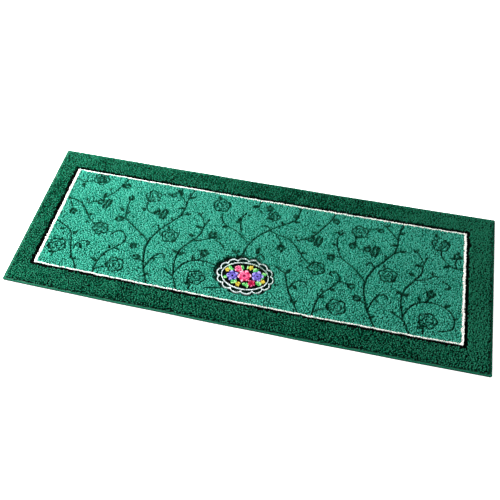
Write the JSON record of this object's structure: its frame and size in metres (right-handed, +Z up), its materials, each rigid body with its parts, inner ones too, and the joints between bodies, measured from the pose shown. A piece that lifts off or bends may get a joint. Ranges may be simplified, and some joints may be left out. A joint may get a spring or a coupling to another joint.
{
  "type": "kitchen mat",
  "caption": "Long flat tufted kitchen mat with a dark border, a carved vine field, a small floral oval and an overlocked yarn edge.",
  "frame": {"origin": "under the middle of the mat, on the surface it lies on", "axes": "+X along the length, -Y towards the long edge nearest the person standing on it, +Z up out of the pile"},
  "size_m": [1.2032, 0.4504, 0.01],
  "materials": {
    "field_pile": "soft cut pile, blue-green, matt with a faint fibre sheen",
    "border_pile": "soft cut pile, deep green, matt",
    "black_pile": "cut pile, black, matt",
    "cream_pile": "cut pile, off-white, matt",
    "oval_pile": "fine cut pile in violet, pink, red, yellow and leaf green",
    "backing": "woven scrim under a matt non-slip coat",
    "edge_yarn": "overlocked yarn, green, satin"
  },
  "bodies": {
    "root": {"pile_mat": "field_pile", "edge_binding": "edge_yarn"}
  },
  "joints": []
}
